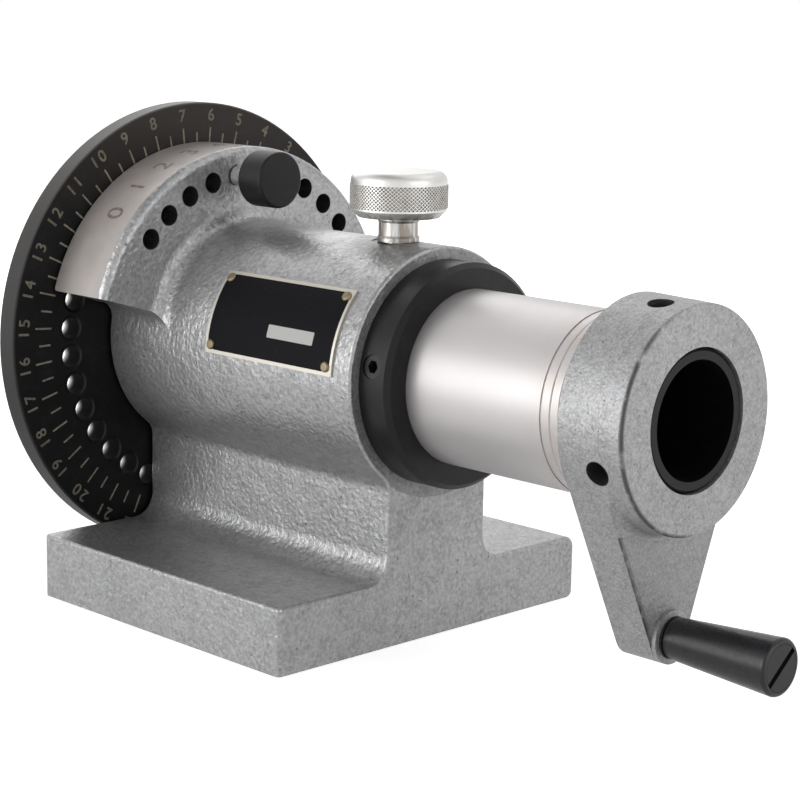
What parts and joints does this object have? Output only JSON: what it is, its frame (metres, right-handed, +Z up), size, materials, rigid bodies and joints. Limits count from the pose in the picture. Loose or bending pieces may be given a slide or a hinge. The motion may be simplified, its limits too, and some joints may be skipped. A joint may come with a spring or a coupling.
{
  "type": "collet spin index fixture",
  "caption": "Bench spin index fixture with a collet spindle, a numbered index plate and pin, a clamping screw and a hand crank on a through draw tube.",
  "frame": {"origin": "centre of the ground underside of the base", "axes": "+X along the spindle from the collet nose to the crank, +Z up, +Y to the left seen from the crank's side looking at the nose"},
  "size_m": [0.2195, 0.127, 0.1333],
  "materials": {
    "cast_paint": "light grey hammertone enamel",
    "ground_steel": "ground bare steel",
    "black_steel": "satin black oxide",
    "bright_knurl": "bright nickel plate, knurled",
    "black_handle": "satin black",
    "label_face": "black printed face, bare border",
    "brass": "plain brass"
  },
  "bodies": {
    "fixture": {"body_casting": "cast_paint", "nameplate": "label_face", "nameplate_rivets": "brass"},
    "spindle_group": {"spindle": "ground_steel", "index_plate": "black_steel", "index_plate_screws": "black_steel", "collet_key": "black_steel", "spindle_collar": "black_steel", "collar_set_screw": "black_steel", "thrust_ring": "ground_steel"},
    "crank_group": {"draw_tube": "black_steel", "crank_arm": "cast_paint", "crank_set_screws": "black_steel", "handle_washer": "black_steel", "handle_screw": "black_steel"},
    "handle_group": {"crank_handle": "black_handle"},
    "pin_group": {"index_pin": "ground_steel", "index_pin_knob": "black_steel"},
    "shoe_group": {"lock_shoe": "brass"},
    "clamp_group": {"lock_knob": "bright_knurl", "lock_stud": "ground_steel"}
  },
  "joints": [
    {"name": "spindle_spin", "type": "hinge", "parent": "fixture", "child": "spindle_group", "pos_m": [0, 0, 0.06985], "axis": [1, 0, 0], "continuous": true},
    {"name": "crank_spin", "type": "hinge", "parent": "spindle_group", "child": "crank_group", "pos_m": [0.1215, 0, 0.06985], "axis": [1, 0, 0], "continuous": true},
    {"name": "handle_spin", "type": "hinge", "parent": "crank_group", "child": "handle_group", "pos_m": [0.1405, 0.0021, 0.01649], "axis": [1, 0, 0], "continuous": true},
    {"name": "index_pin_slide", "type": "slide", "parent": "fixture", "child": "pin_group", "axis": [1, 0, 0], "range_m": [0, 0.027]},
    {"name": "lock_lift", "type": "slide", "parent": "fixture", "child": "shoe_group", "axis": [0, 0, 1], "range_m": [0, 0.0025]},
    {"name": "lock_turn", "type": "hinge", "parent": "shoe_group", "child": "clamp_group", "pos_m": [0.0321, 0, 0.1123], "axis": [0, 0, 1], "range_deg": [0, 720]}
  ],
  "couplings": [
    {"joint": "lock_turn", "follows": "lock_lift", "rad_per_m": 5026.5}
  ]
}
